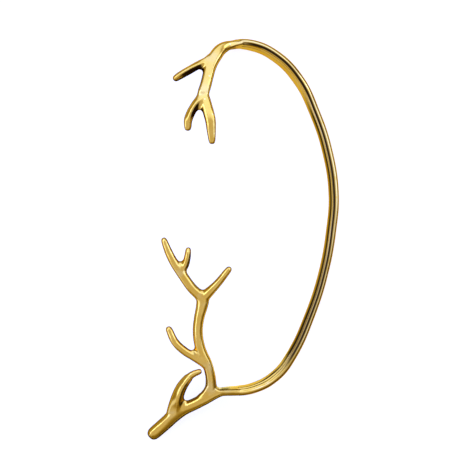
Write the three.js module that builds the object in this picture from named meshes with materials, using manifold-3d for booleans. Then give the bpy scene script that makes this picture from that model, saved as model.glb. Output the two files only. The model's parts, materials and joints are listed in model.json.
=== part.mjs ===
// Antler ear cuff: one casting in plated brass, in millimetres, +Z up.
// It lies on its back as it would on a table: the long wrap touches along its right side and at
// its top, and the foot of the lower antler touches at the other end. Both antlers rise forwards.
// +Y runs up the ear, +X towards the back of the ear, and the origin is under the middle of the box.

import * as THREE from "three";
import { mergeVertices } from "three/addons/utils/BufferGeometryUtils.js";
import Module from "manifold-3d";

// Driving dimensions.
const WRAP_WIDE = 1.15; // thickness of the wrap, across the strip
const WRAP_DEEP = 2.3; // width of the strip, measured along its inner face
const WRAP_BROAD = 2.45; // the same over the top of the ear, where the strip is a little broader
const WRAP_SQUARE = 3.6; // 2 is an ellipse, and higher numbers are boxier
const ANTLER_SQUARE = 2.7;
const WRAP_SIDES = 20;
const ANTLER_SIDES = 14;
const WRAP_STEP = 1.5; // distance between the rings of a branch
const ANTLER_STEP = 0.85;
const CAP_RINGS = 3; // rings in each rounded end
const MERGE = 1e-4;
const GOLD = { color: 0xc39628, roughness: 0.22, metalness: 1 };

// Each row is one section of a branch: its centre, its width and depth, and its roll in degrees.
// A positive roll lifts the side on the left hand of someone who walks along the branch.
const WRAP = {
  sides: WRAP_SIDES,
  step: WRAP_STEP,
  square: WRAP_SQUARE,
  startCap: 0.4,
  endCap: 0.4,
  rows: [
    { x: -5.6, y: -28.7, z: 4.1, wide: 1.0, deep: 1.3, roll: 20 },
    { x: -3.1, y: -28.5, z: 4.1, wide: WRAP_WIDE, deep: 1.95, roll: 31 },
    { x: 1.7, y: -28.0, z: 3.8, wide: WRAP_WIDE, deep: WRAP_DEEP, roll: 33 },
    { x: 6.1, y: -25.6, z: 3.3, wide: WRAP_WIDE, deep: WRAP_DEEP, roll: 36 },
    { x: 9.0, y: -21.9, z: 2.8, wide: WRAP_WIDE, deep: WRAP_DEEP, roll: 34 },
    { x: 12.5, y: -14.35, z: 1.9, wide: WRAP_WIDE, deep: WRAP_DEEP, roll: 30 },
    { x: 15.1, y: -6.2, z: 1.3, wide: WRAP_WIDE, deep: WRAP_DEEP, roll: 29 },
    { x: 16.5, y: 1.4, z: 1.1, wide: WRAP_WIDE, deep: WRAP_DEEP, roll: 28 },
    { x: 17.0, y: 8.4, z: 1.12, wide: WRAP_WIDE, deep: WRAP_DEEP, roll: 28 },
    { x: 15.75, y: 16.7, z: 1.2, wide: WRAP_WIDE, deep: WRAP_DEEP, roll: 29 },
    { x: 13.35, y: 23.9, z: 1.25, wide: WRAP_WIDE, deep: WRAP_DEEP, roll: 31 },
    { x: 10.6, y: 29.65, z: 1.25, wide: WRAP_WIDE, deep: WRAP_BROAD, roll: 34 },
    { x: 6.15, y: 34.25, z: 1.15, wide: WRAP_WIDE, deep: WRAP_BROAD, roll: 35 },
    { x: 1.4, y: 36.4, z: 1.1, wide: WRAP_WIDE, deep: WRAP_BROAD, roll: 32 },
    { x: -2.0, y: 36.4, z: 1.2, wide: WRAP_WIDE, deep: 2.1, roll: 26 },
    { x: -4.0, y: 35.4, z: 1.7, wide: 1.0, deep: 1.3, roll: 10 },
  ],
};

const UPPER_TRUNK = {
  startCap: 0.4,
  endCap: 0.5,
  rows: [
    { x: -0.6, y: 36.7, z: 1.9, wide: 0.9, deep: 0.9, roll: 0 },
    { x: -2.1, y: 36.45, z: 2.3, wide: 1.35, deep: 1.3, roll: 0 },
    { x: -3.3, y: 36.05, z: 2.8, wide: 1.9, deep: 1.6, roll: 0 },
    { x: -4.3, y: 35.4, z: 3.4, wide: 2.2, deep: 1.75, roll: 5 },
    { x: -5.15, y: 34.3, z: 4.1, wide: 2.35, deep: 1.8, roll: 8 },
    { x: -6.05, y: 32.6, z: 5, wide: 2.2, deep: 1.8, roll: 10 },
    { x: -6.6, y: 30.45, z: 6, wide: 1.95, deep: 1.7, roll: 12 },
    { x: -7.0, y: 28.8, z: 6.7, wide: 2.0, deep: 1.6, roll: 10 },
    { x: -7.5, y: 27.2, z: 7.3, wide: 2.1, deep: 1.5, roll: 5 },
  ],
};

const UPPER_OUTER_TINE = {
  startCap: 0.5,
  endCap: 0.65,
  rows: [
    { x: -6.1, y: 34.0, z: 4.2, wide: 1.6, deep: 1.5, roll: 10 },
    { x: -7, y: 33.2, z: 4.7, wide: 1.7, deep: 1.5, roll: 25 },
    { x: -8, y: 32.6, z: 5.1, wide: 1.55, deep: 1.55, roll: 32 },
    { x: -9.9, y: 31.65, z: 5.8, wide: 1.4, deep: 1.35, roll: 35 },
    { x: -11.7, y: 30.6, z: 6.3, wide: 1.35, deep: 1.25, roll: 30 },
    { x: -12.5, y: 30.1, z: 6.4, wide: 1.25, deep: 1.15, roll: 25 },
  ],
};

const UPPER_LEFT_TINE = {
  startCap: 0.5,
  endCap: 0.7,
  rows: [
    { x: -7.5, y: 27.5, z: 7.2, wide: 1.6, deep: 1.4, roll: 5 },
    { x: -7.98, y: 26.25, z: 7.5, wide: 1.65, deep: 1.4, roll: 15 },
    { x: -8.73, y: 25.25, z: 7.8, wide: 1.7, deep: 1.4, roll: 28 },
    { x: -9.38, y: 24.25, z: 8, wide: 1.7, deep: 1.4, roll: 32 },
    { x: -9.98, y: 23.05, z: 8.2, wide: 1.6, deep: 1.35, roll: 28 },
    { x: -10.28, y: 22.15, z: 8.25, wide: 1.45, deep: 1.3, roll: 22 },
    { x: -10.33, y: 20.9, z: 8.2, wide: 1.2, deep: 1.15, roll: 15 },
  ],
};

const UPPER_RIGHT_TINE = {
  startCap: 0.5,
  endCap: 0.75,
  rows: [
    { x: -7.5, y: 27.5, z: 7.2, wide: 1.6, deep: 1.4, roll: 0 },
    { x: -7.03, y: 25.75, z: 7.7, wide: 1.9, deep: 1.4, roll: 0 },
    { x: -6.68, y: 24.35, z: 8.1, wide: 2.0, deep: 1.4, roll: 0 },
    { x: -6.38, y: 23.25, z: 8.4, wide: 2.0, deep: 1.4, roll: 0 },
    { x: -6.08, y: 21.95, z: 8.7, wide: 1.9, deep: 1.35, roll: 0 },
    { x: -5.98, y: 20.65, z: 8.9, wide: 1.7, deep: 1.3, roll: 0 },
    { x: -5.88, y: 19.35, z: 9, wide: 1.45, deep: 1.2, roll: 0 },
    { x: -5.83, y: 18.45, z: 9, wide: 1.2, deep: 1.1, roll: 0 },
  ],
};

const LOWER_TRUNK = {
  startCap: 0.5,
  endCap: 0.5,
  rows: [
    { x: -6.05, y: -28.8, z: 4.1, wide: 2.3, deep: 1.7, roll: 0 },
    { x: -6.05, y: -27.3, z: 4.4, wide: 1.95, deep: 1.8, roll: -8 },
    { x: -6.1, y: -25.9, z: 4.7, wide: 1.85, deep: 1.8, roll: -10 },
    { x: -6.35, y: -24.6, z: 5, wide: 1.85, deep: 1.8, roll: -10 },
    { x: -6.8, y: -23.1, z: 5.3, wide: 1.8, deep: 1.8, roll: -10 },
    { x: -7.5, y: -21.7, z: 5.6, wide: 1.8, deep: 1.8, roll: -10 },
    { x: -8.05, y: -20.3, z: 5.8, wide: 1.85, deep: 1.8, roll: -10 },
    { x: -8.5, y: -17.5, z: 6.2, wide: 1.8, deep: 1.75, roll: -10 },
    { x: -8.25, y: -14.8, z: 6.5, wide: 1.85, deep: 1.7, roll: -8 },
    { x: -7.85, y: -13.1, z: 6.7, wide: 2.05, deep: 1.65, roll: -5 },
    { x: -7.55, y: -11.6, z: 6.8, wide: 2.35, deep: 1.6, roll: 0 },
  ],
};

const LONG_PRONG = {
  startCap: 0.5,
  endCap: 0.8,
  rows: [
    { x: -7.7, y: -11.3, z: 6.8, wide: 1.7, deep: 1.5, roll: 0 },
    { x: -8.55, y: -10.2, z: 6.9, wide: 1.9, deep: 1.5, roll: 0 },
    { x: -9.45, y: -9.35, z: 6.9, wide: 1.8, deep: 1.5, roll: 0 },
    { x: -11.25, y: -6.9, z: 6.9, wide: 1.75, deep: 1.45, roll: 0 },
    { x: -13.15, y: -4.05, z: 6.8, wide: 1.55, deep: 1.35, roll: 0 },
    { x: -14.1, y: -2.1, z: 6.7, wide: 1.4, deep: 1.25, roll: 0 },
    { x: -14.7, y: -0.55, z: 6.6, wide: 1.15, deep: 1.1, roll: 0 },
  ],
};

const SMALL_PRONG = {
  startCap: 0.5,
  endCap: 0.6,
  rows: [
    { x: -11.6, y: -6.1, z: 6.8, wide: 1.2, deep: 1.3, roll: 0 },
    { x: -10.92, y: -5, z: 6.9, wide: 1.4, deep: 1.35, roll: -25 },
    { x: -10.52, y: -3.7, z: 6.9, wide: 1.15, deep: 1.3, roll: -30 },
    { x: -10.37, y: -2.75, z: 6.85, wide: 1.1, deep: 1.2, roll: -22 },
    { x: -10.32, y: -2.2, z: 6.8, wide: 1.0, deep: 1.05, roll: -15 },
  ],
};

const RIGHT_PRONG = {
  startCap: 0.5,
  endCap: 0.9,
  rows: [
    { x: -7.6, y: -11.3, z: 6.8, wide: 1.7, deep: 1.5, roll: 0 },
    { x: -7.0, y: -10.55, z: 7, wide: 2.0, deep: 1.5, roll: -8 },
    { x: -6.27, y: -9.9, z: 7.1, wide: 1.8, deep: 1.5, roll: -12 },
    { x: -5.57, y: -9.2, z: 7.2, wide: 1.55, deep: 1.4, roll: -12 },
    { x: -4.72, y: -8.3, z: 7.2, wide: 1.4, deep: 1.3, roll: -12 },
    { x: -2.92, y: -6.05, z: 7.2, wide: 1.2, deep: 1.1, roll: -8 },
  ],
};

const SIDE_TINE = {
  startCap: 0.5,
  endCap: 0.8,
  rows: [
    { x: -6.5, y: -24.2, z: 5.1, wide: 1.4, deep: 1.4, roll: 0 },
    { x: -7.3, y: -23.4, z: 5.3, wide: 1.4, deep: 1.4, roll: 0 },
    { x: -9.15, y: -22.1, z: 5.4, wide: 1.5, deep: 1.4, roll: 0 },
    { x: -11.15, y: -20.85, z: 5.4, wide: 1.45, deep: 1.35, roll: 0 },
    { x: -12.85, y: -19.15, z: 5.3, wide: 1.4, deep: 1.3, roll: 0 },
    { x: -13.8, y: -17.15, z: 5.2, wide: 1.25, deep: 1.15, roll: 0 },
  ],
};

const FOOT = {
  startCap: 0.5,
  endCap: 1.25,
  rows: [
    { x: -3.6, y: -28.7, z: 4, wide: 1.1, deep: 1.2, roll: 20 },
    { x: -4.9, y: -28.9, z: 4.1, wide: 1.7, deep: 1.6, roll: 20 },
    { x: -6.2, y: -29.4, z: 4.1, wide: 2.1, deep: 1.9, roll: 22 },
    { x: -7.4, y: -30.05, z: 3.9, wide: 2.1, deep: 2.0, roll: 25 },
    { x: -9.5, y: -31.1, z: 3.4, wide: 2.1, deep: 2.1, roll: 27 },
    { x: -11.1, y: -31.8, z: 2.9, wide: 2.3, deep: 2.2, roll: 27 },
    { x: -12.75, y: -32.9, z: 2.2, wide: 2.55, deep: 2.2, roll: 25 },
    { x: -14.7, y: -34.65, z: 1.4, wide: 2.5, deep: 2.2, roll: 22 },
    { x: -16.65, y: -36.35, z: 1.02, wide: 2.5, deep: 2.15, roll: 18 },
  ],
};

const HOOK = {
  startCap: 0.6,
  endCap: 0.6,
  rows: [
    { x: -12.55, y: -31.7, z: 2.9, wide: 2.3, deep: 1.7, roll: -10 },
    { x: -12.5, y: -30.7, z: 3.4, wide: 2.2, deep: 1.8, roll: -22 },
    { x: -12.3, y: -29.7, z: 3.9, wide: 2.05, deep: 1.8, roll: -32 },
    { x: -11.75, y: -28.1, z: 4.5, wide: 1.9, deep: 1.7, roll: -35 },
    { x: -10.9, y: -26.75, z: 4.9, wide: 1.65, deep: 1.5, roll: -35 },
    { x: -9.4, y: -25.3, z: 5.1, wide: 1.35, deep: 1.3, roll: -30 },
    { x: -8.2, y: -24.8, z: 5, wide: 1.1, deep: 1.05, roll: -20 },
  ],
};

const BRANCHES = [
  UPPER_TRUNK,
  UPPER_OUTER_TINE,
  UPPER_LEFT_TINE,
  UPPER_RIGHT_TINE,
  LOWER_TRUNK,
  LONG_PRONG,
  SMALL_PRONG,
  RIGHT_PRONG,
  SIDE_TINE,
  FOOT,
  HOOK,
];

// The floor that the cuff rests on is a block whose top is Z = 0.
const FLOOR = { x: 60, y: 100, z: 4 };

const { Manifold, Mesh: ManifoldMesh } = await startManifold();

async function startManifold() {
  const wasm = await Module();
  wasm.setup();
  return wasm;
}

// A smooth curve through one triple of values for each row of a branch.
function through(rows, pick) {
  const points = rows.map((row) => new THREE.Vector3(...pick(row)));
  return new THREE.CatmullRomCurve3(points, false, "centripetal");
}

// The directions of a section: ahead along the branch, out to its left, and up out of its face.
function directionsAt(route, t, roll) {
  const ahead = route.getTangent(t);
  const left = new THREE.Vector3(0, 0, 1).cross(ahead).normalize();
  const up = ahead.clone().cross(left);
  const angle = THREE.MathUtils.degToRad(roll);
  left.applyAxisAngle(ahead, angle);
  up.applyAxisAngle(ahead, angle);
  return { ahead, left, up };
}

// A point's reach from the centre of a section that lies between an ellipse and a box.
function squared(value, square) {
  return Math.sign(value) * Math.abs(value) ** (2 / square);
}

// One branch as a closed skin: a sphere's rings are slid along the route, and its poles close the ends.
function branchGeometry(branch) {
  const { rows, startCap, endCap } = branch;
  const sides = branch.sides ?? ANTLER_SIDES;
  const square = branch.square ?? ANTLER_SQUARE;
  const route = through(rows, (row) => [row.x, row.y, row.z]);
  const sizes = through(rows, (row) => [row.wide, row.deep, row.roll]);
  const bodyRings = Math.ceil(route.getLength() / (branch.step ?? ANTLER_STEP));
  const rings = bodyRings + 2 * CAP_RINGS;
  const skin = new THREE.SphereGeometry(1, sides, rings);
  const { position, uv } = skin.attributes;
  const point = new THREE.Vector3();
  for (let i = 0; i < position.count; i++) {
    const ring = Math.round((1 - uv.getY(i)) * rings);
    const around = uv.getX(i) * 2 * Math.PI;
    const alongBody = THREE.MathUtils.clamp(ring - CAP_RINGS, 0, bodyRings) / bodyRings;
    const fromEnd = Math.min(ring, rings - ring, CAP_RINGS);
    const capAngle = (fromEnd / CAP_RINGS) * (Math.PI / 2);
    const capReach = alongBody === 0 ? -startCap : endCap;
    const t = route.getUtoTmapping(alongBody);
    const size = sizes.getPoint(t);
    const { ahead, left, up } = directionsAt(route, t, size.z);
    const across = (size.x / 2) * Math.sin(capAngle) * squared(Math.cos(around), square);
    const above = (size.y / 2) * Math.sin(capAngle) * squared(-Math.sin(around), square);
    point.copy(route.getPoint(t));
    point.addScaledVector(left, across);
    point.addScaledVector(up, above);
    point.addScaledVector(ahead, capReach * Math.cos(capAngle));
    position.setXYZ(i, point.x, point.y, point.z);
  }
  return skin;
}

function solidOf(geometry) {
  geometry.deleteAttribute("normal");
  geometry.deleteAttribute("uv");
  const merged = mergeVertices(geometry, MERGE);
  return new Manifold(
    new ManifoldMesh({
      numProp: 3,
      vertProperties: merged.attributes.position.array,
      triVerts: new Uint32Array(merged.index.array),
    }),
  );
}

function geometryOf(solid) {
  const mesh = solid.getMesh();
  const geometry = new THREE.BufferGeometry();
  geometry.setAttribute("position", new THREE.BufferAttribute(mesh.vertProperties, 3));
  geometry.setIndex(new THREE.BufferAttribute(mesh.triVerts, 1));
  geometry.computeVertexNormals();
  return geometry;
}

function floorBlock() {
  const block = new THREE.BoxGeometry(FLOOR.x, FLOOR.y, FLOOR.z);
  return block.translate(0, 0, -FLOOR.z / 2);
}

// The wrap and both antlers are one casting, dressed flat by a hair where it stands.
function castCuff() {
  let cast = solidOf(branchGeometry(WRAP));
  for (const branch of BRANCHES) {
    cast = cast.add(solidOf(branchGeometry(branch)));
  }
  return cast.subtract(solidOf(floorBlock()));
}

// Moves a piece sideways until the middle of its box stands over the origin.
function centred(geometry) {
  geometry.computeBoundingBox();
  const middle = geometry.boundingBox.getCenter(new THREE.Vector3());
  return geometry.translate(-middle.x, -middle.y, 0);
}

const cuff = new THREE.Mesh(
  centred(geometryOf(castCuff())),
  new THREE.MeshStandardMaterial(GOLD),
);
cuff.name = "ear_cuff";

const part = new THREE.Group();
part.add(cuff);

export default part;
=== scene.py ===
"""Antler ear cuff in plated gold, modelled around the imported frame.

The casting is drawn in millimetres and brought to metres once, at the end. Each branch is a straight bar,
drawn out section by section and then bent along its spine. The antlers' bars are melted into one skin with
fillets in the crotches. The long wrap keeps its drawn section: it is cut to length and bridged on at both
ends.
"""

import json
import math
from collections import Counter, namedtuple

import bmesh
import bpy
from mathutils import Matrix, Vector
from mathutils.geometry import interpolate_bezier
from mathutils.kdtree import KDTree

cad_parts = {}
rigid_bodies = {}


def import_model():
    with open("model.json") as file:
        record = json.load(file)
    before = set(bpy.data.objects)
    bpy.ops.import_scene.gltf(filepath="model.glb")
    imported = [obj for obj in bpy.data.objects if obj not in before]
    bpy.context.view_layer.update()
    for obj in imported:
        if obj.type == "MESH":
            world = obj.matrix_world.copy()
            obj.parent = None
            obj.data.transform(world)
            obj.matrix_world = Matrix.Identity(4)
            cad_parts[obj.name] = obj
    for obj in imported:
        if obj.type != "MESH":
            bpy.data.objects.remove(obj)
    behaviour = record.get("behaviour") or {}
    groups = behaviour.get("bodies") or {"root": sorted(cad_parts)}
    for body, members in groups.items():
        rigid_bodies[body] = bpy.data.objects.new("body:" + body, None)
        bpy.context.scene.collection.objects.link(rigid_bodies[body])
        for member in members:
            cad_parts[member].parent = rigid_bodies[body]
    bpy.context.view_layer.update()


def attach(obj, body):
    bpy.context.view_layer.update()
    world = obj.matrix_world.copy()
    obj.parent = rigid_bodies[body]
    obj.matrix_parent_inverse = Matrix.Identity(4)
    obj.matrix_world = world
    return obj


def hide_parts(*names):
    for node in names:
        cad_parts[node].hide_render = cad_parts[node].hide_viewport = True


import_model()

MM = 0.001

# One section of a branch, in millimetres: its centre, its width and depth, and its roll in degrees.
# A positive roll lifts the side on the left hand of someone who walks along the branch.
Row = namedtuple("Row", "x y z wide deep roll")

# A branch: the lengths of its rounded ends, its sections, and the shape of them. A crown of 0 leaves flat
# sides and 1 makes it round, and the corner is the share of a side that each rounded corner takes.
Branch = namedtuple("Branch", "start_cap end_cap rows crown corner", defaults=(0.8, 0.44))

# One point of the wrap's section, in millimetres: side is towards the inner face, and up is along it.
Point = namedtuple("Point", "side up")

STRIP = 1.15  # thickness of the wrap
FACE = 2.3  # width of the wrap's inner face

WRAP_SECTION = [
    Point(0.36, 0.9),
    Point(0.3, 1.02),
    Point(0.2, 1.12),
    Point(0.07, 1.155),
    Point(-0.1, 1.158),
    Point(-0.3, 1.14),
    Point(-0.48, 1.07),
    Point(-0.57, 0.93),
    Point(-0.575, -0.95),
    Point(-0.5, -1.1),
    Point(-0.35, -1.15),
    Point(0.35, -1.15),
    Point(0.52, -1.13),
    Point(0.6, -1.05),
    Point(0.575, -0.1),
    Point(0.42, 0.1),
    Point(0.6, 0.22),
    Point(0.625, 0.34),
    Point(0.615, 0.54),
    Point(0.5, 0.76),
]

# Where the section gets painted shade in a groove or channel, or a painted highlight on a bead or a ridge:
# its place, how far it is full and how far it reaches, and its strength.
Mark = namedtuple("Mark", "side up full outer strength")
MARKS = {
    "groove": [Mark(0.49, 0.01, 0.16, 0.22, 1.0)],
    "channel": [
        Mark(0.43, 0.83, 0.12, 0.17, 1.0),
        Mark(0.36, 0.93, 0.1, 0.16, 1.0),
        Mark(0.3, 1.04, 0.06, 0.12, 0.6),
    ],
    "bead": [Mark(0.62, 0.44, 0.16, 0.22, 1.0)],
    "ridge": [Mark(0.05, 1.15, 0.12, 0.22, 0.9)],
}

WRAP = Branch(0.4, 0.4, [
    Row(-5.6, -28.7, 4.1, 1.0, 1.3, 20),
    Row(-3.1, -28.5, 4.1, STRIP, 1.95, 31),
    Row(1.7, -28.0, 3.8, STRIP, FACE, 33),
    Row(6.1, -25.6, 3.3, STRIP, FACE, 36),
    Row(9.0, -21.9, 2.8, STRIP, FACE, 34),
    Row(12.5, -14.35, 1.9, 1.05, 2.15, 35),
    Row(15.1, -6.2, 1.3, 1.0, 2.1, 35),
    Row(16.5, 1.4, 1.1, 1.1, 2.2, 31),
    Row(17.0, 8.4, 1.12, STRIP, FACE, 28),
    Row(15.75, 16.7, 1.2, STRIP, FACE, 29),
    Row(13.35, 23.9, 1.25, STRIP, FACE, 31),
    Row(10.55, 29.6, 1.25, STRIP, 2.45, 34),
    Row(6.15, 34.25, 1.15, STRIP, 2.45, 35),
    Row(1.4, 36.4, 1.1, STRIP, 2.45, 32),
    Row(-2.0, 36.4, 1.55, STRIP, 1.85, 26),
    Row(-4.0, 35.45, 2.8, 1.0, 1.1, 10),
])

ANTLERS = {
    "upper_trunk": Branch(0.4, 0.5, [
        Row(-0.6, 36.7, 1.9, 0.9, 0.9, 0),
        Row(-2.1, 36.45, 2.3, 1.35, 1.3, 0),
        Row(-3.3, 36.05, 2.8, 1.9, 1.6, 0),
        Row(-4.3, 35.4, 3.4, 2.2, 1.75, 3),
        Row(-5.15, 34.3, 4.1, 2.4, 1.8, 4),
        Row(-6.05, 32.6, 5.0, 2.25, 1.75, 5),
        Row(-6.6, 30.45, 6.0, 1.95, 1.7, 6),
        Row(-7.0, 28.8, 6.7, 2.0, 1.6, 6),
        Row(-7.5, 27.2, 7.3, 2.1, 1.5, 5),
    ], 0.15, 0.3),
    "upper_outer_tine": Branch(0.5, 0.65, [
        Row(-6.1, 34.0, 4.5, 1.4, 1.1, 8),
        Row(-7.0, 33.25, 4.95, 1.3, 1.25, 16),
        Row(-8.0, 32.75, 5.2, 1.15, 1.4, 30),
        Row(-9.9, 31.65, 5.8, 0.95, 1.6, 42),
        Row(-11.7, 30.6, 6.3, 1.0, 1.45, 40),
        Row(-12.5, 30.1, 6.4, 1.0, 1.25, 32),
    ], 0.1, 0.26),
    "upper_left_tine": Branch(0.5, 0.7, [
        Row(-7.5, 27.5, 7.2, 1.6, 1.4, 5),
        Row(-8.0, 26.25, 7.5, 1.6, 1.4, 22),
        Row(-8.75, 25.25, 7.8, 1.3, 1.5, 38),
        Row(-9.4, 24.25, 8.0, 1.3, 1.5, 42),
        Row(-10.0, 23.05, 8.2, 1.35, 1.4, 38),
        Row(-10.3, 22.15, 8.25, 1.45, 1.3, 22),
        Row(-10.35, 20.9, 8.2, 1.2, 1.15, 15),
    ], 0.1, 0.28),
    "upper_right_tine": Branch(0.5, 0.75, [
        Row(-7.5, 27.5, 7.2, 1.6, 1.4, 0),
        Row(-7.05, 25.75, 7.7, 1.9, 1.4, 0),
        Row(-6.7, 24.35, 8.1, 2.0, 1.4, 0),
        Row(-6.4, 23.25, 8.4, 2.0, 1.4, 0),
        Row(-6.1, 21.95, 8.7, 1.9, 1.35, 0),
        Row(-6.0, 20.65, 8.9, 1.7, 1.3, 0),
        Row(-5.9, 19.35, 9.0, 1.45, 1.2, 0),
        Row(-5.85, 18.45, 9.0, 1.2, 1.1, 0),
    ], 0.2, 0.32),
    "lower_trunk": Branch(0.5, 0.5, [
        Row(-6.05, -28.8, 4.1, 2.3, 1.7, 0),
        Row(-6.05, -27.3, 4.4, 1.95, 1.8, -8),
        Row(-6.1, -25.9, 4.7, 1.85, 1.8, -10),
        Row(-6.35, -24.6, 5.0, 1.85, 1.8, -10),
        Row(-6.8, -23.1, 5.3, 1.8, 1.8, -10),
        Row(-7.5, -21.7, 5.6, 1.8, 1.8, -10),
        Row(-8.05, -20.3, 5.8, 1.85, 1.8, -10),
        Row(-8.5, -17.5, 6.2, 1.8, 1.75, -10),
        Row(-8.25, -14.8, 6.5, 1.85, 1.7, -8),
        Row(-7.85, -13.1, 6.7, 2.05, 1.65, -5),
        Row(-7.55, -11.6, 6.8, 2.35, 1.6, 0),
    ]),
    "long_prong": Branch(0.5, 0.8, [
        Row(-7.7, -11.3, 6.8, 1.7, 1.5, 0),
        Row(-8.55, -10.2, 6.9, 1.9, 1.5, 0),
        Row(-9.45, -9.35, 6.9, 1.8, 1.5, 0),
        Row(-11.25, -6.9, 6.9, 1.75, 1.45, 0),
        Row(-13.15, -4.05, 6.8, 1.55, 1.35, 0),
        Row(-14.1, -2.1, 6.7, 1.4, 1.25, 0),
        Row(-14.7, -0.55, 6.6, 1.15, 1.1, 0),
    ]),
    "small_prong": Branch(0.5, 0.6, [
        Row(-11.6, -6.1, 6.8, 1.2, 1.3, 0),
        Row(-10.9, -5.0, 6.9, 1.4, 1.35, -25),
        Row(-10.5, -3.7, 6.9, 1.15, 1.3, -30),
        Row(-10.35, -2.75, 6.85, 1.1, 1.2, -22),
        Row(-10.3, -2.2, 6.8, 1.0, 1.05, -15),
    ]),
    "right_prong": Branch(0.5, 0.9, [
        Row(-7.6, -11.3, 6.8, 1.7, 1.5, 0),
        Row(-7.0, -10.55, 7.0, 2.0, 1.5, -8),
        Row(-6.3, -9.85, 7.1, 1.8, 1.5, -12),
        Row(-5.6, -9.15, 7.2, 1.55, 1.4, -12),
        Row(-4.75, -8.25, 7.2, 1.4, 1.3, -12),
        Row(-2.95, -6.0, 7.2, 1.2, 1.1, -8),
    ]),
    "side_tine": Branch(0.5, 0.8, [
        Row(-6.5, -24.2, 5.1, 1.4, 1.4, 0),
        Row(-7.3, -23.4, 5.3, 1.4, 1.4, 0),
        Row(-9.15, -22.1, 5.4, 1.5, 1.4, 0),
        Row(-11.15, -20.85, 5.4, 1.45, 1.35, 0),
        Row(-12.85, -19.15, 5.3, 1.4, 1.3, 0),
        Row(-13.8, -17.15, 5.2, 1.25, 1.15, 0),
    ]),
    "corner_web": Branch(0.4, 0.4, [
        Row(-6.4, -27.5, 4.3, 1.2, 1.5, 0),
        Row(-7.0, -28.7, 4.2, 1.3, 1.5, 0),
        Row(-8.2, -29.8, 3.9, 1.2, 1.5, 0),
    ]),
    "foot": Branch(0.5, 1.25, [
        Row(-3.6, -28.7, 4.0, 1.1, 1.2, 20),
        Row(-4.9, -28.9, 4.1, 1.7, 1.6, 20),
        Row(-6.2, -29.4, 4.1, 2.1, 1.9, 12),
        Row(-7.4, -30.05, 3.9, 2.1, 2.0, 0),
        Row(-9.5, -31.1, 3.4, 2.1, 2.1, -8),
        Row(-11.1, -31.8, 2.9, 2.3, 2.2, -14),
        Row(-12.75, -32.9, 2.2, 2.5, 2.2, -20),
        Row(-14.7, -34.65, 1.4, 2.4, 2.2, -22),
        Row(-16.65, -36.35, 1.02, 2.4, 2.15, -20),
    ], 0.4, 0.38),
    "hook": Branch(0.6, 0.3, [
        Row(-13.1, -32.7, 2.4, 2.6, 1.7, -10),
        Row(-12.8, -31.7, 2.9, 2.7, 1.7, -12),
        Row(-12.6, -30.7, 3.4, 2.4, 1.8, -22),
        Row(-12.35, -29.7, 3.9, 2.1, 1.8, -32),
        Row(-11.75, -28.1, 4.5, 1.9, 1.7, -35),
        Row(-10.9, -26.75, 4.9, 1.65, 1.5, -35),
        Row(-10.2, -25.9, 5.05, 1.45, 1.35, -33),
    ], 0.2, 0.3),
}

# The hook's tip is added after the crotches are filled, or it would be filled up against the trunk.
HOOK_TIP = Branch(0.3, 0.5, [
    Row(-11.2, -27.15, 4.8, 1.6, 1.45, -35),
    Row(-10.2, -25.9, 5.05, 1.45, 1.35, -33),
    Row(-9.4, -25.3, 5.1, 1.35, 1.3, -30),
    Row(-8.25, -24.83, 5.0, 1.1, 1.05, -20),
])

SPINE_STEPS = 24  # points on each arc of a spine
CORNER_CUTS = 3
BAR_LEVELS = 2
FILLET = 0.52  # radius of the fillets in the crotches
SMOOTHED_OFF = 0.07  # what the smoothing takes off the skin
VOXEL = 0.14  # grain of the melted skin
SMOOTHING = 0.5  # how far each pass draws a point towards its neighbours
FILLET_PASSES = 6
TIP_PASSES = 5

# The stubs of the wrap that are melted in with the antlers.
STUB_ROWS = 4
STUB_CROWN = 0.06
STUB_CORNER = 0.17

CREST = 0.035  # softening of the drawn section's corners
CREST_CUTS = 2
WRAP_PARTS = 6  # lengths that each arc of the wrap is drawn in
WRAP_LEVELS = 1

# Where the wrap leaves the melted skin, along its spine from either end, and the gap that is bridged there.
LOWER_JOIN = 5.0
UPPER_JOIN = 4.6
JOIN_GAP = 0.5
JOIN_CUTS = 2
JOIN_EASE = (0.4, 1.2)
JOIN_PASSES = 8
WELD = 0.0001  # points closer than this to a cut count as on it
HALFWAY = 5.0  # height up the cuff that parts the lower antler from the upper

# Distances over which something takes over: along the wrap from its lower or upper end, off its spine, and
# from the root of a branch.
WRAP_START = (3.5, 5.5)
WRAP_END = (3.5, 5.0)
WRAP_REACH = (2.0, 2.6)
MARKS_START = (11.0, 18.0)
MARKS_END = {"groove": (19.0, 26.0), "bead": (19.0, 26.0), "channel": (3.0, 7.0), "ridge": (3.0, 7.0)}
CAST_REACH = (0.9, 2.0)

# A rounded end, from its tip: share of the cap's length, and share of the full section.
CAP = [(0.0, 0.42), (0.16, 0.68), (0.5, 0.92)]

# A wall of a fork that gets painted shade: its middle, its reach, the way it faces, and how strong the shade
# is.
PaintedShadeWall = namedtuple("PaintedShadeWall", "x y reach towards strength", defaults=(1.0,))
PAINTED_SHADE_WALLS = [
    PaintedShadeWall(-9.3, 31.6, 3.4, (0.4, -0.8, 0.45)),
    PaintedShadeWall(-7.6, 31.6, 1.2, (-0.5, -0.6, 0.4)),
    PaintedShadeWall(-9.0, 24.6, 2.8, (0.9, -0.2, 0.4)),
    PaintedShadeWall(-8.1, 25.6, 1.3, (0.0, -0.9, 0.3)),
    PaintedShadeWall(-11.4, -29.0, 3.0, (0.85, -0.4, 0.35), 0.75),
    PaintedShadeWall(-10.3, -4.2, 1.8, (0.9, -0.3, 0.35), 0.75),
    PaintedShadeWall(-8.6, -21.3, 0.9, (-0.4, 0.8, 0.4)),
    PaintedShadeWall(-2.6, 35.4, 1.6, (0.2, -0.9, 0.3), 0.6),
]
WALL_TURN = (0.45, 0.8)  # how squarely a face must turn that way
WALL_FULL = 0.6  # share of the reach that is fully dark

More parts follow.
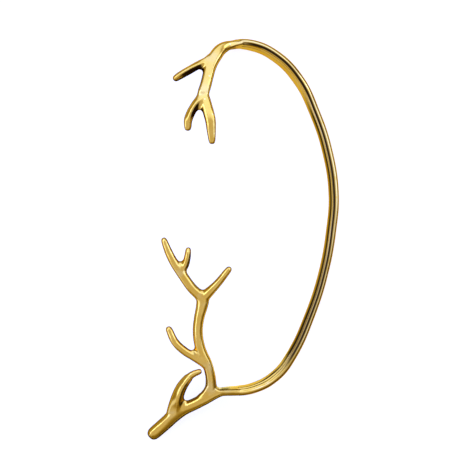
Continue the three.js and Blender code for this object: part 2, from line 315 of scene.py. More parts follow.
GOLD = (0.95, 0.55, 0.05, 1)
GOLD_DEEP = (0.9, 0.49, 0.03, 1)
GOLD_CAST = (0.92, 0.57, 0.08, 1)
# Lighter gold on convex edges: partly wear, partly a painted highlight.
GOLD_WORN_AND_SHEEN = (1.0, 0.66, 0.13, 1)
# Painted shade in the hollows.
GOLD_HOLLOW_SHADE = (0.5, 0.24, 0.02, 1)
# Painted highlight along the wrap's ridge.
GOLD_RIDGE_HIGHLIGHT = (0.98, 0.64, 0.1, 1)
# Painted highlight along the wrap's bead.
GOLD_BEAD_HIGHLIGHT = (0.97, 0.66, 0.17, 1)
# Painted shade, near-black, in the wrap's grooves and channels and on the fork walls.
GOLD_PAINTED_SHADE = (0.035, 0.016, 0.003, 1)
GOLD_EDGE = (0.9, 0.6, 0.15, 1)  # what it mirrors at a glancing angle

# Mottling in the gold: the scale and detail of its noise, and the part of the noise's range that counts.
Mottle = namedtuple("Mottle", "scale detail low high", defaults=(0.0, 1.0))
STREAKS = Mottle(260, 2, 0.35, 0.65)
PATCHES = Mottle(450, 3, 0.35, 0.55)
BLOTCHES = Mottle(600, 3, 0.3, 0.45)
SPECKLE = Mottle(1500, 3, 0.3, 0.7)
WAVES = Mottle(700, 2)
GRAIN = Mottle(4500, 3)

# How sharply the skin bends where it is lighter from wear and a painted highlight, and where it lies in a
# hollow and gets painted shade.
WORN_AND_SHEEN_BEND = (0.53, 0.6)
HOLLOW_SHADE_BEND = (0.47, 0.4)

COAT = 0.3
COAT_ROUGH = 0.12
ANTLER_ROUGH = 0.13
WRAP_ROUGH = 0.07
CAST_ROUGH = 0.08
SPECKLE_ROUGH = (-0.02, 0.03)
ANTLER_WAVES = 0.8
WRAP_WAVES = 0.1
GRAIN_SHARE = 0.1
GRAIN_DEPTH = 0.00003

BLACK = (0, 0, 0, 1)
FLOOR_SIZE = 6
FLOOR_ROUGH = 0.9
FLOOR_SEEN = (0.4, 0.38, 0.3, 1)
FLOOR_GLOW = (0.8, 0.8, 0.8, 1)
FLOOR_DIM = (0.055, 0.04, 0.012, 1)

# A pool of light or shade that the gold mirrors from the floor: its middle, its reach each way, the shares of
# that reach where it is nothing and full, and its colour. One that is full further out lies all round a hole.
Pool = namedtuple("Pool", "x y across along none full colour")
POOL_HEIGHT = 1000
POOLS = [
    Pool(-1.0, 2.0, 17.0, 35.0, 0.5, 0.64, (0.7, 0.7, 0.55, 1)),
    Pool(-26.0, 0.0, 14.0, 60.0, 1.1, 0.9, (0.33, 0.3, 0.12, 1)),
    Pool(-6.0, -26.0, 9.0, 16.0, 1.1, 0.9, FLOOR_DIM),
    Pool(-10.0, -46.0, 14.0, 14.0, 1.1, 0.9, FLOOR_DIM),
    Pool(-11.0, 22.0, 13.0, 13.0, 1.1, 0.9, FLOOR_DIM),
    Pool(-1.5, -23.0, 3.5, 4.0, 1.1, 0.8, (1.2, 1.7, 5.0, 1)),
    Pool(4.0, -21.5, 2.2, 4.0, 1.1, 0.8, (1.2, 1.7, 5.0, 1)),
    Pool(1.2, -23.0, 1.2, 5.0, 1.1, 0.8, FLOOR_DIM),
    Pool(-0.9, -17.6, 2.6, 2.8, 1.1, 0.7, (0.9, 1.0, 1.4, 1)),
]

BRIGHTEST = 30  # the light that the tent's nodes hold as 1

# One side of the tent: where it faces, the share of a turn over which it takes over, and its rings, each an
# angle from overhead in degrees and the brightness there. The first side goes all round.
Wall = namedtuple("Wall", "towards turn rings")
TENT = [
    Wall(None, None, [
        (0, 0.64), (45, 0.64), (58, 0.62), (66, 0.4), (75, 0.2), (90, 0.1),
    ]),
    Wall((0.7, -0.7, 0.0), (0.35, 0.8), [
        (0, 0.64), (20, 0.64), (24, 0.8), (28, 0.8), (34, 0.6), (42, 0.5), (50, 0.34), (60, 0.24), (75, 0.12),
        (90, 0.06),
    ]),
    Wall((-0.1, -1.0, 0.0), (0.8, 0.95), [
        (0, 0.64), (30, 0.68), (40, 0.64), (47, 0.45), (56, 0.32), (66, 0.24), (90, 0.15),
    ]),
    Wall((-0.62, -0.78, 0.0), (0.95, 0.985), [
        (0, 0.64), (45, 0.64), (53, 0.7), (61, 0.68), (68, 0.42), (76, 0.3), (90, 0.25),
    ]),
    Wall((-0.93, -0.37, 0.0), (0.93, 0.985), [
        (0, 0.64), (30, 0.66), (58, 0.62), (64, 0.6), (70, 1.1), (82, 1.1), (86, 0.4), (90, 0.3),
    ]),
    Wall((-1.0, 0.1, 0.0), (0.85, 0.95), [
        (0, 0.62), (30, 0.64), (44, 0.7), (51, 2.2), (63, 2.2), (68, 0.5), (75, 0.33), (90, 0.3),
    ]),
    Wall((-0.35, 1.0, 0.0), (0.3, 0.65), [
        (0, 0.62), (28, 0.64), (34, 1.4), (39, 1.4), (41, 4), (47, 4), (49, 1.4), (53, 1.2),
        (60, 0.45), (75, 0.38), (90, 0.35),
    ]),
    Wall((0.0, 1.0, 0.0), (0.75, 0.9), [
        (0, 0.62), (23, 0.64), (27, 1.4), (34, 1.6), (42, 1.4), (66, 1.3), (72, 0.4), (90, 0.25),
    ]),
    Wall((1.0, 0.35, 0.0), (0.85, 0.95), [
        (0, 0.64), (28, 0.62), (34, 1.5), (58, 1.5), (64, 0.42), (75, 0.15), (90, 0.08),
    ]),
]

# Brightness, and the colour of light that strong.
TONES = [
    (0, (0, 0, 0)),
    (0.12, (0.12, 0.09, 0.035)),
    (0.2, (0.2, 0.165, 0.08)),
    (0.35, (0.35, 0.32, 0.15)),
    (0.62, (0.62, 0.69, 1.5)),
    (1.5, (1.15, 1.6, 6.0)),
    (10, (8, 10, 30)),
]

# A round lamp: its direction, inner and outer angle in degrees, and brightness.
LAMPS = [
    ((0.749, 0.468, 0.47), 4, 8, 2),
]

# The camera looks straight down from far off: its sensor, the width it takes in, where that is centred, and
# how far off it stands.
SENSOR = 36
VIEW_WIDTH = 89.25
VIEW_X, VIEW_Y, VIEW_Z = -0.98, 0.235, 2.0
CAMERA_DISTANCE = 1200


def only(piece):
    """Leaves one object selected and active, in object mode."""
    if bpy.context.mode != "OBJECT":
        bpy.ops.object.mode_set(mode="OBJECT")
    bpy.ops.object.select_all(action="DESELECT")
    piece.select_set(True)
    bpy.context.view_layer.objects.active = piece


def finish_with(piece, kind, **settings):
    """Adds one modifier to a piece and applies it."""
    only(piece)
    modifier = piece.modifiers.new(kind.lower(), kind)
    for name, value in settings.items():
        setattr(modifier, name, value)
    bpy.ops.object.modifier_apply(modifier=modifier.name)


def fade(value, start, end):
    """0 before start and 1 after end, eased at both."""
    share = min(max((value - start) / (end - start), 0.0), 1.0)
    return share * share * (3 - 2 * share)


def spine_of(name, branch):
    """The curve that a bar is bent along, which runs out to the tips of both rounded ends."""
    places = [Vector((row.x, row.y, row.z)) for row in branch.rows]
    first = places[0] + (places[0] - places[1]).normalized() * branch.start_cap
    last = places[-1] + (places[-1] - places[-2]).normalized() * branch.end_cap
    places = [first] + places + [last]
    rolls = [branch.rows[0].roll] + [row.roll for row in branch.rows] + [branch.rows[-1].roll]
    curve = bpy.data.curves.new(name + "_spine", "CURVE")
    curve.dimensions = "3D"
    curve.twist_mode = "Z_UP"
    curve.resolution_u = SPINE_STEPS
    spline = curve.splines.new("BEZIER")
    spline.tilt_interpolation = "CARDINAL"
    spline.bezier_points.add(len(places) - 1)
    for knot, place, roll in zip(spline.bezier_points, places, rolls):
        knot.co = place
        knot.tilt = math.radians(roll)
        knot.handle_left_type = "AUTO"
        knot.handle_right_type = "AUTO"
    spine = bpy.data.objects.new(name + "_spine", curve)
    bpy.context.scene.collection.objects.link(spine)
    bpy.context.view_layer.update()
    return spine


def points_along(spine):
    """Points on a spine, SPINE_STEPS to each of its arcs, with the distance to each."""
    knots = spine.data.splines[0].bezier_points
    points = [knots[0].co.copy()]
    for a, b in zip(knots, knots[1:]):
        points += interpolate_bezier(a.co, a.handle_right, b.handle_left, b.co, SPINE_STEPS + 1)[1:]
    reach = [0.0]
    for a, b in zip(points, points[1:]):
        reach.append(reach[-1] + (b - a).length)
    return points, reach


def stations_of(branch, spine, parts=1):
    """Where the bar changes section: distance along it, width and depth, with both ends rounded."""
    stops = points_along(spine)[1][::SPINE_STEPS]
    first, last = branch.rows[0], branch.rows[-1]
    stations = [(share * branch.start_cap, first.wide * size, first.deep * size) for share, size in CAP]
    full = [(stop, row.wide, row.deep) for stop, row in zip(stops[1:-1], branch.rows)]
    stations.append(full[0])
    for a, b in zip(full, full[1:]):
        for part in range(1, parts + 1):
            stations.append(tuple(p + (q - p) * part / parts for p, q in zip(a, b)))
    stations += [
        (stops[-1] - share * branch.end_cap, last.wide * size, last.deep * size)
        for share, size in reversed(CAP)
    ]
    return stations


def rounded_square(name, corner, crown):
    """The section of an antler's branch, one unit wide and deep, left in edit mode."""
    bpy.ops.object.select_all(action="DESELECT")
    bpy.ops.mesh.primitive_plane_add(size=1, rotation=(0, math.pi / 2, 0))
    section = bpy.context.object
    section.name = name
    bpy.ops.object.transform_apply(location=True, rotation=True, scale=True)
    bpy.ops.object.mode_set(mode="EDIT")
    bpy.ops.mesh.select_all(action="SELECT")
    bpy.ops.mesh.bevel(offset=corner, segments=CORNER_CUTS, affect="VERTICES")
    bpy.ops.mesh.select_all(action="SELECT")
    bpy.ops.transform.tosphere(value=crown)
    reach = max(corner.co.y for corner in bmesh.from_edit_mesh(section.data).verts)
    fit = 0.5 / reach
    bpy.ops.transform.resize(value=(1, fit, fit), center_override=(0, 0, 0))
    return section


def drawn_section(name, points):
    """A section drawn point by point, brought to one unit wide and deep, left in edit mode."""
    bpy.ops.object.select_all(action="DESELECT")
    bpy.ops.mesh.primitive_plane_add(size=1)
    section = bpy.context.object
    section.name = name
    bpy.ops.object.mode_set(mode="EDIT")
    bpy.ops.mesh.select_all(action="SELECT")
    bpy.ops.mesh.merge(type="CENTER")
    bpy.ops.transform.translate(value=(0, points[0].side, points[0].up))
    for a, b in zip(points, points[1:]):
        step = (0, b.side - a.side, b.up - a.up)
        bpy.ops.mesh.extrude_region_move(TRANSFORM_OT_translate={"value": step})
    bpy.ops.mesh.select_all(action="SELECT")
    bpy.ops.mesh.edge_face_add()
    bpy.ops.mesh.bevel(offset=CREST, segments=CREST_CUTS, affect="VERTICES")
    bpy.ops.object.mode_set(mode="OBJECT")
    for kind, marks in MARKS.items():
        group = section.vertex_groups.new(name=kind)
        for corner in section.data.vertices:
            shares = []
            for mark in marks:
                gap = math.hypot(corner.co.y - mark.side, corner.co.z - mark.up)
                shares.append(mark.strength * (1 - fade(gap, mark.full, mark.outer)))
            group.add([corner.index], max(shares), "REPLACE")
    bpy.ops.object.mode_set(mode="EDIT")
    bpy.ops.mesh.select_all(action="SELECT")
    bpy.ops.transform.resize(value=(1, 1 / STRIP, 1 / FACE), center_override=(0, 0, 0))
    return section


def draw_out(bar, stations):
    """Draws a section out into a bar along X, resized from station to station."""
    reach, wide, deep = stations[0]
    bpy.ops.transform.resize(value=(1, wide, deep), center_override=(0, 0, 0))
    bpy.ops.transform.translate(value=(reach, 0, 0))
    for next_reach, next_wide, next_deep in stations[1:]:
        step = (next_reach - reach, 0, 0)
        bpy.ops.mesh.extrude_region_move(TRANSFORM_OT_translate={"value": step})
        bpy.ops.transform.resize(
            value=(1, next_wide / wide, next_deep / deep), center_override=(next_reach, 0, 0)
        )
        reach, wide, deep = next_reach, next_wide, next_deep
    bpy.ops.mesh.select_all(action="SELECT")
    bpy.ops.mesh.normals_make_consistent(inside=False)
    bpy.ops.object.mode_set(mode="OBJECT")


def bent_bar(name, branch):
    """One branch: its straight bar, rounded over and bent along its spine."""
    spine = spine_of(name, branch)
    bar = rounded_square(name, branch.corner, branch.crown)
    draw_out(bar, stations_of(branch, spine))
    finish_with(bar, "SUBSURF", levels=BAR_LEVELS, render_levels=BAR_LEVELS)
    finish_with(bar, "CURVE", object=spine, deform_axis="POS_X")
    return bar


def melted(name, bars):
    """Joins bars and remeshes them into one skin."""
    only(bars[0])
    for bar in bars:
        bar.select_set(True)
    bpy.ops.object.join()
    skin = bpy.context.object
    skin.name = name
    finish_with(skin, "REMESH", mode="VOXEL", voxel_size=VOXEL)
    return skin


def melted_antlers():
    """Both antlers, each with a stub of the wrap, with a fillet in every crotch."""
    stubs = {
        "lower_stub": WRAP._replace(rows=WRAP.rows[:STUB_ROWS], crown=STUB_CROWN, corner=STUB_CORNER),
        "upper_stub": WRAP._replace(rows=WRAP.rows[-STUB_ROWS:], crown=STUB_CROWN, corner=STUB_CORNER),
    }
    bars = [bent_bar(name, stub) for name, stub in stubs.items()]
    bars += [bent_bar(name, branch) for name, branch in ANTLERS.items()]
    for bar in bars:
        finish_with(bar, "DISPLACE", mid_level=0, strength=FILLET)
    skin = melted("antler_ear_cuff", bars)
    finish_with(skin, "SMOOTH", factor=SMOOTHING, iterations=FILLET_PASSES)
    finish_with(skin, "DISPLACE", mid_level=0, strength=SMOOTHED_OFF - FILLET)
    skin = melted("antler_ear_cuff", [skin, bent_bar("hook_tip", HOOK_TIP)])
    finish_with(skin, "SMOOTH", factor=SMOOTHING, iterations=TIP_PASSES)
    return skin


def drawn_wrap():
    """The wrap by itself, with the bead along its inner face."""
    spine = spine_of("wrap", WRAP)
    wrap = drawn_section("wrap", WRAP_SECTION)
    draw_out(wrap, stations_of(WRAP, spine, WRAP_PARTS))
    finish_with(wrap, "SUBSURF", levels=WRAP_LEVELS, render_levels=WRAP_LEVELS)
    finish_with(wrap, "CURVE", object=spine, deform_axis="POS_X")
    return wrap, spine


def place_on(spine, distance):
    """A point on a spine and the way it runs there, at a distance from its start."""
    points, reach = points_along(spine)
    index = min(range(1, len(points) - 1), key=lambda i: abs(reach[i] - distance))
    return points[index], (points[index + 1] - points[index - 1]).normalized()


def in_half(vertex, upper):
    """Whether a vertex lies in the half of the upper or of the lower antler."""
    return (vertex.co.y > HALFWAY) == upper


def clear_selection(piece, edges):
    """Leaves nothing selected on a piece, ready to pick its edges or its vertices in object mode."""
    only(piece)
    bpy.context.tool_settings.mesh_select_mode = (not edges, edges, False)
    bpy.ops.object.mode_set(mode="EDIT")
    bpy.ops.mesh.select_all(action="DESELECT")
    bpy.ops.object.mode_set(mode="OBJECT")


def select_half(piece, upper):
    """Selects the half of a piece that lies at the upper or at the lower antler."""
    clear_selection(piece, edges=False)
    for vertex in piece.data.vertices:
        vertex.select = in_half(vertex, upper)
    bpy.ops.object.mode_set(mode="EDIT")


def select_rims(piece, upper):
    """Selects the open rims in the half of a piece at the upper or at the lower antler."""
    clear_selection(piece, edges=True)
    sides = Counter(key for face in piece.data.polygons for key in face.edge_keys)
    for edge in piece.data.edges:
        start = piece.data.vertices[edge.key[0]]
        edge.select = in_half(start, upper) and sides[edge.key] == 1
    bpy.ops.object.mode_set(mode="EDIT")


def cut_end(piece, upper, place, way, keep_before):
    """Cuts one end of a piece across its length, and keeps what comes before or after the cut."""
    select_half(piece, upper)
    bpy.ops.mesh.bisect(
        plane_co=place, plane_no=way, clear_outer=keep_before, clear_inner=not keep_before, threshold=WELD
    )
    bpy.ops.object.mode_set(mode="OBJECT")


def join_wrap(skin, wrap, spine):
    """Cuts the stubs and the wrap at both joins, and bridges the narrow gap between them."""
    length = points_along(spine)[1][-1]
    for upper, join in ((False, LOWER_JOIN), (True, UPPER_JOIN)):
        stub_end = length - join if upper else join
        wrap_end = stub_end - JOIN_GAP if upper else stub_end + JOIN_GAP
        cut_end(skin, upper, *place_on(spine, stub_end), not upper)
        cut_end(wrap, upper, *place_on(spine, wrap_end), upper)
    only(skin)
    wrap.select_set(True)
    bpy.ops.object.join()
    for upper in (False, True):
        select_rims(skin, upper)
        bpy.ops.mesh.bridge_edge_loops(number_cuts=JOIN_CUTS, interpolation="LINEAR")
        bpy.ops.object.mode_set(mode="OBJECT")


def along_wrap(skin, spine):
    """For each vertex, how far along the wrap it lies from either end, and how far off its spine."""
    points, reach = points_along(spine)
    tree = KDTree(len(points))
    for index, point in enumerate(points):
        tree.insert(point, index)
    tree.balance()
    found = []
    for vertex in skin.data.vertices:
        _, index, gap = tree.find(vertex.co)
        found.append((reach[index], reach[-1] - reach[index], gap))
    return found


def ease_joins(skin, found):
    """Smooths the skin across both joins."""
    group = skin.vertex_groups.new(name="joins")
    for index, (from_start, from_end, gap) in enumerate(found):
        off = min(abs(from_start - LOWER_JOIN), abs(from_end - UPPER_JOIN))
        share = (1 - fade(off, *JOIN_EASE)) * (1 - fade(gap, *WRAP_REACH))
        if share > 0:
            group.add([index], share, "REPLACE")
    finish_with(skin, "SMOOTH", factor=SMOOTHING, iterations=JOIN_PASSES, vertex_group="joins")


def polish_of(found):
    """How far each vertex belongs to the polished wrap: 1 on its free length, 0 on both antlers."""
    return [
        fade(from_start, *WRAP_START) * fade(from_end, *WRAP_END) * (1 - fade(gap, *WRAP_REACH))
        for from_start, from_end, gap in found
    ]


def cast_of(skin):
    """How much of the cast skin each vertex keeps: 1 in the forks, where a branch leaves another."""
    roots = [branch.rows[0] for branch in ANTLERS.values()]
    forks = [Vector((root.x, root.y, root.z)) for root in roots]
    return [
        1 - fade(min((vertex.co - fork).length for fork in forks), *CAST_REACH)
        for vertex in skin.data.vertices
    ]


def painted_shade_of(skin):
    """How much painted shade each vertex gets: 1 on the walls that turn inward in the forks."""
    shares = [0.0] * len(skin.data.vertices)
    for wall in PAINTED_SHADE_WALLS:
        towards = Vector(wall.towards).normalized()
        middle = Vector((wall.x, wall.y))
        for vertex in skin.data.vertices:
            off = (vertex.co.xy - middle).length
            if off < wall.reach:
                turned = fade(vertex.normal.dot(towards), *WALL_TURN)
                share = wall.strength * turned * (1 - fade(off, wall.reach * WALL_FULL, wall.reach))
                shares[vertex.index] = max(shares[vertex.index], share)
    return shares


def weights_of(skin, name):
    """The weight of each vertex in a group, and 0 outside it."""
    index = skin.vertex_groups[name].index
    return [
        next((share.weight for share in vertex.groups if share.group == index), 0.0)
        for vertex in skin.data.vertices
    ]


def faded_marks(name, weights, found):
    """The weights of one mark, faded out towards both ends of the wrap."""
    return [
        weight * fade(from_start, *MARKS_START) * fade(from_end, *MARKS_END[name])
        for weight, (from_start, from_end, _) in zip(weights, found)
    ]


def keep_shares(skin, name, shares):
    """Stores one number for each vertex, for the gold to read."""
    attribute = skin.data.attributes.new(name, "FLOAT", "POINT")
    attribute.data.foreach_set("value", shares)


def set_down(skin):
    """Centres the casting under its box, dresses it flat where it stands, and brings it to metres."""
    low = Vector(map(min, *[v.co for v in skin.data.vertices]))
    high = Vector(map(max, *[v.co for v in skin.data.vertices]))
    only(skin)
    bpy.ops.object.mode_set(mode="EDIT")
    bpy.ops.mesh.select_all(action="SELECT")
    bpy.ops.transform.translate(value=(-(low.x + high.x) / 2, -(low.y + high.y) / 2, 0))
    bpy.ops.mesh.bisect(
        plane_co=(0, 0, 0), plane_no=(0, 0, 1), use_fill=True, clear_inner=True, threshold=WELD
    )
    bpy.ops.mesh.select_all(action="SELECT")
    bpy.ops.transform.resize(value=(MM, MM, MM), center_override=(0, 0, 0))
    bpy.ops.mesh.normals_make_consistent(inside=False)
    bpy.ops.object.mode_set(mode="OBJECT")
    bpy.ops.object.shade_smooth()


def cast_cuff():
    """The whole casting, on the floor and at its real size."""
    skin = melted_antlers()
    wrap, spine = drawn_wrap()
    join_wrap(skin, wrap, spine)
    found = along_wrap(skin, spine)
    ease_joins(skin, found)
    marks = {name: weights_of(skin, name) for name in MARKS}
    skin.vertex_groups.clear()
    # The marks carry painted shade in the grooves and channels and painted highlights on the bead and the
    # ridge.
    for name, weights in marks.items():
        keep_shares(skin, name, faded_marks(name, weights, found))
    keep_shares(skin, "polish", polish_of(found))
    keep_shares(skin, "cast", cast_of(skin))
    # Painted shade on the fork walls.
    keep_shares(skin, "shade", painted_shade_of(skin))
    set_down(skin)
    for helper in [piece for piece in bpy.data.objects if piece.name.endswith("_spine")]:
        bpy.data.objects.remove(helper)
    return skin


def worked(tree, operation, a, b=None):
    """One Math node: each of its inputs is a socket or a number."""
    node = tree.nodes.new("ShaderNodeMath")
    node.operation = operation
    for socket, value in zip(node.inputs, (a, b)):
        if isinstance(value, bpy.types.NodeSocket):
            tree.links.new(value, socket)
        elif value is not None:
            socket.default_value = value
    return node.outputs[0]


def noise(tree, where, mottle):
    """Mottling that lies still on the metal."""
    node = tree.nodes.new("ShaderNodeTexNoise")
    node.inputs["Scale"].default_value = mottle.scale
    node.inputs["Detail"].default_value = mottle.detail
    tree.links.new(where, node.inputs["Vector"])
    return node.outputs["Fac"]


def ranged(tree, value, low, high, to_low=0.0, to_high=1.0):
    """Carries a value from one range to another, eased at both ends."""
    node = tree.nodes.new("ShaderNodeMapRange")
    node.interpolation_type = "SMOOTHSTEP"
    for name, number in (("From Min", low), ("From Max", high), ("To Min", to_low), ("To Max", to_high)):
        node.inputs[name].default_value = number
    tree.links.new(value, node.inputs["Value"])
    return node.outputs["Result"]


def mottled(tree, where, mottle, to_low=0.0, to_high=1.0):
    """Mottling with its range stretched."""
    return ranged(tree, noise(tree, where, mottle), mottle.low, mottle.high, to_low, to_high)


def blended(tree, share, first, second):
    """A colour that passes from the first to the second as share goes from 0 to 1."""
    node = tree.nodes.new("ShaderNodeMix")
    node.data_type = "RGBA"
    tree.links.new(share, node.inputs["Factor"])
    for name, colour in (("A", first), ("B", second)):
        socket = next(s for s in node.inputs if s.name == name and s.type == "RGBA")
        if isinstance(colour, bpy.types.NodeSocket):
            tree.links.new(colour, socket)
        else:
            socket.default_value = colour
    return next(s for s in node.outputs if s.type == "RGBA")


def added(tree, first, second):
    """The sum of two colours."""
    node = tree.nodes.new("ShaderNodeVectorMath")
    node.operation = "ADD"
    tree.links.new(first, node.inputs[0])
    tree.links.new(second, node.inputs[1])
    return node.outputs["Vector"]


def stored(tree, name):
    """Reads a number stored at each vertex."""
    node = tree.nodes.new("ShaderNodeAttribute")
    node.attribute_name = name
    return node.outputs["Fac"]


def gold_colour(tree, where, patches):
    """Streaked gold, lighter on its edges from wear and a painted highlight, with painted shade in its
    hollows, and painted highlights in the marks along the wrap.
    """
    bend = tree.nodes.new("ShaderNodeNewGeometry").outputs["Pointiness"]
    worn_and_sheen = ranged(tree, bend, *WORN_AND_SHEEN_BEND)
    hollow = ranged(tree, bend, *HOLLOW_SHADE_BEND)
    ridge = worked(tree, "MULTIPLY", stored(tree, "ridge"), mottled(tree, where, BLOTCHES))
    colour = blended(tree, mottled(tree, where, STREAKS), GOLD_DEEP, GOLD)
    colour = blended(tree, patches, colour, GOLD_CAST)
    # Lighter on the convex edges, from wear and partly a painted highlight.
    colour = blended(tree, worn_and_sheen, colour, GOLD_WORN_AND_SHEEN)
    # Painted shade in the hollows, where the skin bends inward.
    colour = blended(tree, hollow, colour, GOLD_HOLLOW_SHADE)
    # Painted highlights along the wrap's ridge and bead.
    colour = blended(tree, ridge, colour, GOLD_RIDGE_HIGHLIGHT)
    return blended(tree, stored(tree, "bead"), colour, GOLD_BEAD_HIGHLIGHT)


def gold_roughness(tree, where, patches, polish):
    """Smooth on the wrap, satin on the antlers, and rougher where the cast skin is left."""
    rough = ranged(tree, polish, 0, 1, ANTLER_ROUGH, WRAP_ROUGH)
    rough = worked(tree, "ADD", rough, worked(tree, "MULTIPLY", patches, CAST_ROUGH))
    return worked(tree, "ADD", rough, mottled(tree, where, SPECKLE, *SPECKLE_ROUGH))


def gold_relief(tree, where, polish):
    """Slow waves on the antlers, all but polished out on the wrap, and a fine grain all over."""
    depth = ranged(tree, polish, 0, 1, ANTLER_WAVES, WRAP_WAVES)
    waves = worked(tree, "MULTIPLY", noise(tree, where, WAVES), depth)
    grain = worked(tree, "MULTIPLY", noise(tree, where, GRAIN), GRAIN_SHARE)
    bump = tree.nodes.new("ShaderNodeBump")
    bump.inputs["Distance"].default_value = GRAIN_DEPTH
    tree.links.new(worked(tree, "ADD", waves, grain), bump.inputs["Height"])
    return bump.outputs["Normal"]


def gold():
    """Plated gold: polished on the wrap, satin on the antlers, with the cast skin left in the forks."""
    material = bpy.data.materials.new("plated_gold")
    material.use_nodes = True
    tree = material.node_tree
    shader = tree.nodes["Principled BSDF"]
    shader.inputs["Metallic"].default_value = 1
    shader.inputs["Coat Roughness"].default_value = COAT_ROUGH
    shader.inputs["Specular Tint"].default_value = GOLD_EDGE
    where = tree.nodes.new("ShaderNodeTexCoord").outputs["Object"]
    polish = stored(tree, "polish")
    patches = worked(tree, "MULTIPLY", stored(tree, "cast"), mottled(tree, where, PATCHES))
    # Painted shade in the grooves, channels and fork walls, where the coat is taken off as well.
    painted_shade_mask = worked(tree, "MAXIMUM", stored(tree, "groove"), stored(tree, "channel"))
    painted_shade_mask = worked(tree, "MAXIMUM", painted_shade_mask, stored(tree, "shade"))
    colour = blended(tree, painted_shade_mask, gold_colour(tree, where, patches), GOLD_PAINTED_SHADE)
    tree.links.new(colour, shader.inputs["Base Color"])
    tree.links.new(ranged(tree, painted_shade_mask, 0, 1, COAT, 0), shader.inputs["Coat Weight"])
    tree.links.new(gold_roughness(tree, where, patches, polish), shader.inputs["Roughness"])
    tree.links.new(gold_relief(tree, where, polish), shader.inputs["Normal"])
    return material


def pool_share(tree, where, pool):
    """How far a place on the floor lies in a pool."""
    scaled = tree.nodes.new("ShaderNodeMapping")
    scaled.vector_type = "TEXTURE"
    scaled.inputs["Location"].default_value = Vector((pool.x, pool.y, 0)) * MM
    scaled.inputs["Scale"].default_value = Vector((pool.across, pool.along, POOL_HEIGHT)) * MM
    tree.links.new(where, scaled.inputs["Vector"])
    reach = tree.nodes.new("ShaderNodeVectorMath")
    reach.operation = "LENGTH"
    tree.links.new(scaled.outputs["Vector"], reach.inputs[0])
    share = ranged(tree, reach.outputs["Value"], *sorted((pool.none, pool.full)))
    if pool.none > pool.full:
        share = worked(tree, "SUBTRACT", 1, share)
    return share


def lay_floor():
    """A wide pale floor, which the gold mirrors as pools of light and shade."""
    bpy.ops.object.select_all(action="DESELECT")
    bpy.ops.mesh.primitive_plane_add(size=FLOOR_SIZE)
    floor = bpy.context.object
    floor.name = "studio_floor"
    material = bpy.data.materials.new("pale_floor")
    material.use_nodes = True
    tree = material.node_tree
    shader = tree.nodes["Principled BSDF"]
    shader.inputs["Roughness"].default_value = FLOOR_ROUGH
    shader.inputs["Specular IOR Level"].default_value = 0.0
    where = tree.nodes.new("ShaderNodeTexCoord").outputs["Object"]
    mirrored = FLOOR_DIM
    for pool in POOLS:
        mirrored = blended(tree, pool_share(tree, where, pool), mirrored, pool.colour)
    path = tree.nodes.new("ShaderNodeLightPath")
    mirror = path.outputs["Is Glossy Ray"]
    tree.links.new(blended(tree, mirror, FLOOR_SEEN, BLACK), shader.inputs["Base Color"])
    tree.links.new(blended(tree, mirror, FLOOR_GLOW, mirrored), shader.inputs["Emission Color"])
    glowing = worked(tree, "ADD", path.outputs["Is Camera Ray"], mirror)
    tree.links.new(glowing, shader.inputs["Emission Strength"])
    floor.data.materials.append(material)


def tone(bright):
    """The colour of light at a brightness: warm where it is dim and cool where it is strong."""
    for (low, dim), (high, strong) in zip(TONES, TONES[1:]):
        if bright <= high:
            share = (bright - low) / (high - low)
            return [d + (s - d) * share for d, s in zip(dim, strong)]
    return list(TONES[-1][1])


def tent_colour(bright):
    """A colour of light as the tent's nodes hold it, as a share of the brightest."""
    return [channel / BRIGHTEST for channel in tone(bright)] + [1]


def ring_light(tree, overhead, rings):
    """Light by the angle from overhead, in degrees, as the tent's walls and openings give it."""
    ramp = tree.nodes.new("ShaderNodeValToRGB")
    stops = ramp.color_ramp.elements
    while len(stops) < len(rings):
        stops.new(1.0)
    for stop, (angle, bright) in zip(stops, rings):
        stop.position = angle / 180
        stop.color = tent_colour(bright)
    tree.links.new(overhead, ramp.inputs["Fac"])
    return ramp.outputs["Color"]


def facing(tree, direction, towards):
    """How squarely a direction points one way: 1 straight along it, 0 across it."""
    node = tree.nodes.new("ShaderNodeVectorMath")
    node.operation = "DOT_PRODUCT"
    node.inputs[1].default_value = Vector(towards).normalized()
    tree.links.new(direction, node.inputs[0])
    return node.outputs["Value"]


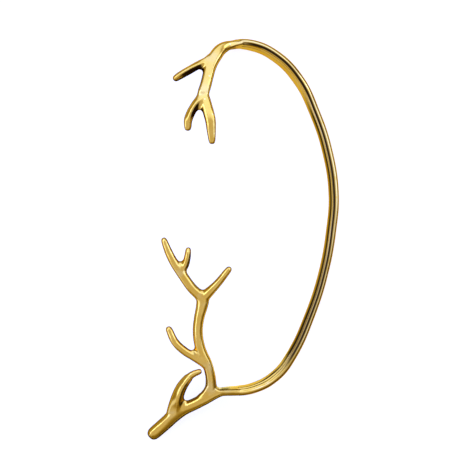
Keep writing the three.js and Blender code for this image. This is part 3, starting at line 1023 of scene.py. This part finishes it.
def lamp_light(tree, direction, towards, inner, outer, bright):
    """A round lamp in the tent: full within the inner angle, none past the outer."""
    edges = (math.cos(math.radians(outer)), math.cos(math.radians(inner)))
    patch = ranged(tree, facing(tree, direction, towards), *edges)
    return blended(tree, patch, BLACK, tent_colour(bright))


def light_studio():
    """A light tent: rings of wall round an opening overhead, with unlike sides, and a lamp.

    The camera sees plain white.
    """
    world = bpy.data.worlds.new("studio")
    bpy.context.scene.world = world
    world.use_nodes = True
    tree = world.node_tree
    background = tree.nodes["Background"]
    direction = tree.nodes.new("ShaderNodeTexCoord").outputs["Generated"]
    split = tree.nodes.new("ShaderNodeSeparateXYZ")
    tree.links.new(direction, split.inputs["Vector"])
    angle = worked(tree, "ARCCOSINE", split.outputs["Z"])
    overhead = worked(tree, "DIVIDE", angle, math.pi)
    level = worked(tree, "SINE", angle)
    light = ring_light(tree, overhead, TENT[0].rings)
    for wall in TENT[1:]:
        turned = worked(tree, "DIVIDE", facing(tree, direction, wall.towards), level)
        share = ranged(tree, turned, *wall.turn)
        light = blended(tree, share, light, ring_light(tree, overhead, wall.rings))
    for lamp in LAMPS:
        light = added(tree, light, lamp_light(tree, direction, *lamp))
    path = tree.nodes.new("ShaderNodeLightPath")
    white = [1 / BRIGHTEST] * 3 + [1]
    light = blended(tree, path.outputs["Is Camera Ray"], light, white)
    tree.links.new(light, background.inputs["Color"])
    background.inputs["Strength"].default_value = BRIGHTEST


def place_camera():
    """Straight above, from far off."""
    data = bpy.data.cameras.new("camera")
    data.sensor_width = SENSOR
    data.lens = SENSOR * CAMERA_DISTANCE / VIEW_WIDTH
    camera = bpy.data.objects.new("camera", data)
    camera.location = Vector((VIEW_X, VIEW_Y, VIEW_Z + CAMERA_DISTANCE)) * MM
    bpy.context.scene.collection.objects.link(camera)
    bpy.context.scene.camera = camera


place_camera()
light_studio()
lay_floor()
cuff = cast_cuff()
cuff.data.materials.clear()
cuff.data.materials.append(gold())
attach(cuff, "root")
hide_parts("ear_cuff")
bpy.context.scene.view_settings.view_transform = "Standard"
